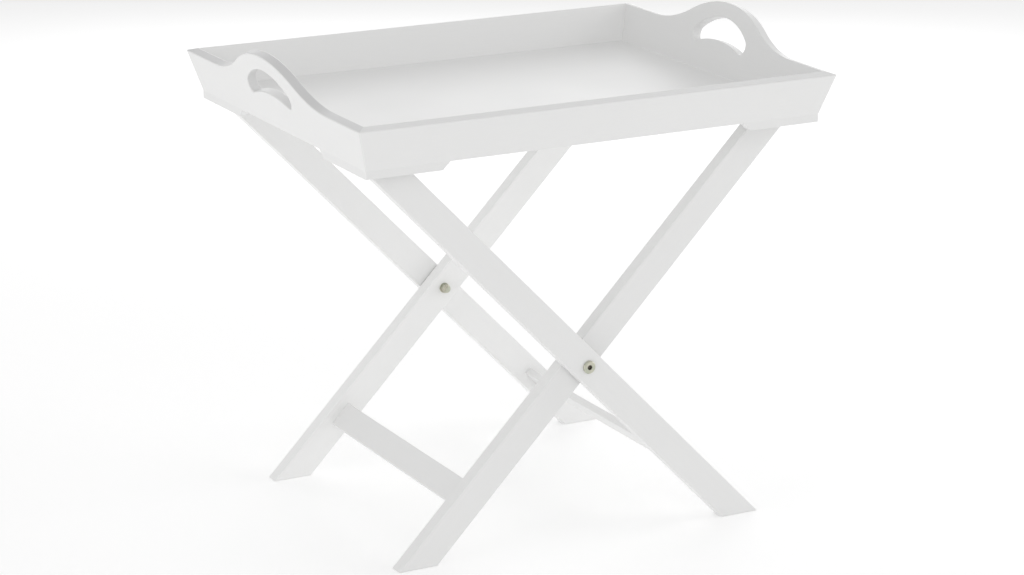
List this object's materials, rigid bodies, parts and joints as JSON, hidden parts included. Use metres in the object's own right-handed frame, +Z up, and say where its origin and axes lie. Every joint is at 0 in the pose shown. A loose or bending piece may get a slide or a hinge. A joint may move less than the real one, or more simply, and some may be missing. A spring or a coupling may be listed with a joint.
{
  "type": "folding tray table",
  "caption": "Folding table with a flared rectangular tray, raised arched end handles and a crossed folding stand that pivots on bolts.",
  "frame": {"origin": "on the ground below the middle of the tray", "axes": "+X along the tray's long side, +Y along its short side towards the back, +Z up"},
  "size_m": [0.623, 0.4646, 0.5654],
  "materials": {
    "tray_paint": "white satin paint on wood",
    "stand_paint": "white satin paint on wood",
    "panel_paint": "white satin paint on a thin board",
    "zinc_bolt": "yellow zinc plated steel",
    "steel_brad": "bright steel, hidden",
    "beech_dowel": "bare beech, hidden"
  },
  "bodies": {
    "pivots": {"pivot_bolt_front": "zinc_bolt", "pivot_nut_front": "zinc_bolt", "pivot_bolt_back": "zinc_bolt", "pivot_nut_back": "zinc_bolt", "spacer_washers": "zinc_bolt", "nut_washers": "zinc_bolt"},
    "outer_frame": {"outer_leg_front": "stand_paint", "outer_leg_back": "stand_paint", "outer_top_rail": "stand_paint", "outer_rung": "stand_paint", "outer_dowels": "beech_dowel"},
    "inner_frame": {"inner_leg_front": "stand_paint", "inner_leg_back": "stand_paint", "inner_top_rail": "stand_paint", "inner_rung": "stand_paint", "inner_dowels": "beech_dowel"},
    "tray": {"tray_panel": "panel_paint", "tray_front_board": "tray_paint", "tray_back_board": "tray_paint", "tray_left_handle_board": "tray_paint", "tray_right_handle_board": "tray_paint", "foot_front_left_long": "tray_paint", "foot_front_left_short": "tray_paint", "foot_front_right_long": "tray_paint", "foot_front_right_short": "tray_paint", "foot_back_left_long": "tray_paint", "foot_back_left_short": "tray_paint", "foot_back_right_long": "tray_paint", "foot_back_right_short": "tray_paint", "tray_corner_brads": "steel_brad", "foot_brads": "steel_brad"}
  },
  "joints": [
    {"name": "stand_fold", "type": "hinge", "parent": "pivots", "child": "outer_frame", "pos_m": [0, 0, 0.2117], "axis": [0, 1, 0], "range_deg": [0, 40.4]},
    {"name": "inner_fold", "type": "hinge", "parent": "pivots", "child": "inner_frame", "pos_m": [0, 0, 0.2117], "axis": [0, 1, 0], "range_deg": [-40.4, 0]},
    {"name": "tray_lift", "type": "slide", "parent": "pivots", "child": "tray", "axis": [0, 0, 1], "range_m": [0, 0.2]}
  ],
  "couplings": [
    {"joint": "inner_fold", "follows": "stand_fold", "ratio": -1},
    {"joint": "tray_lift", "follows": "stand_fold", "m_per_rad": 0.28}
  ]
}
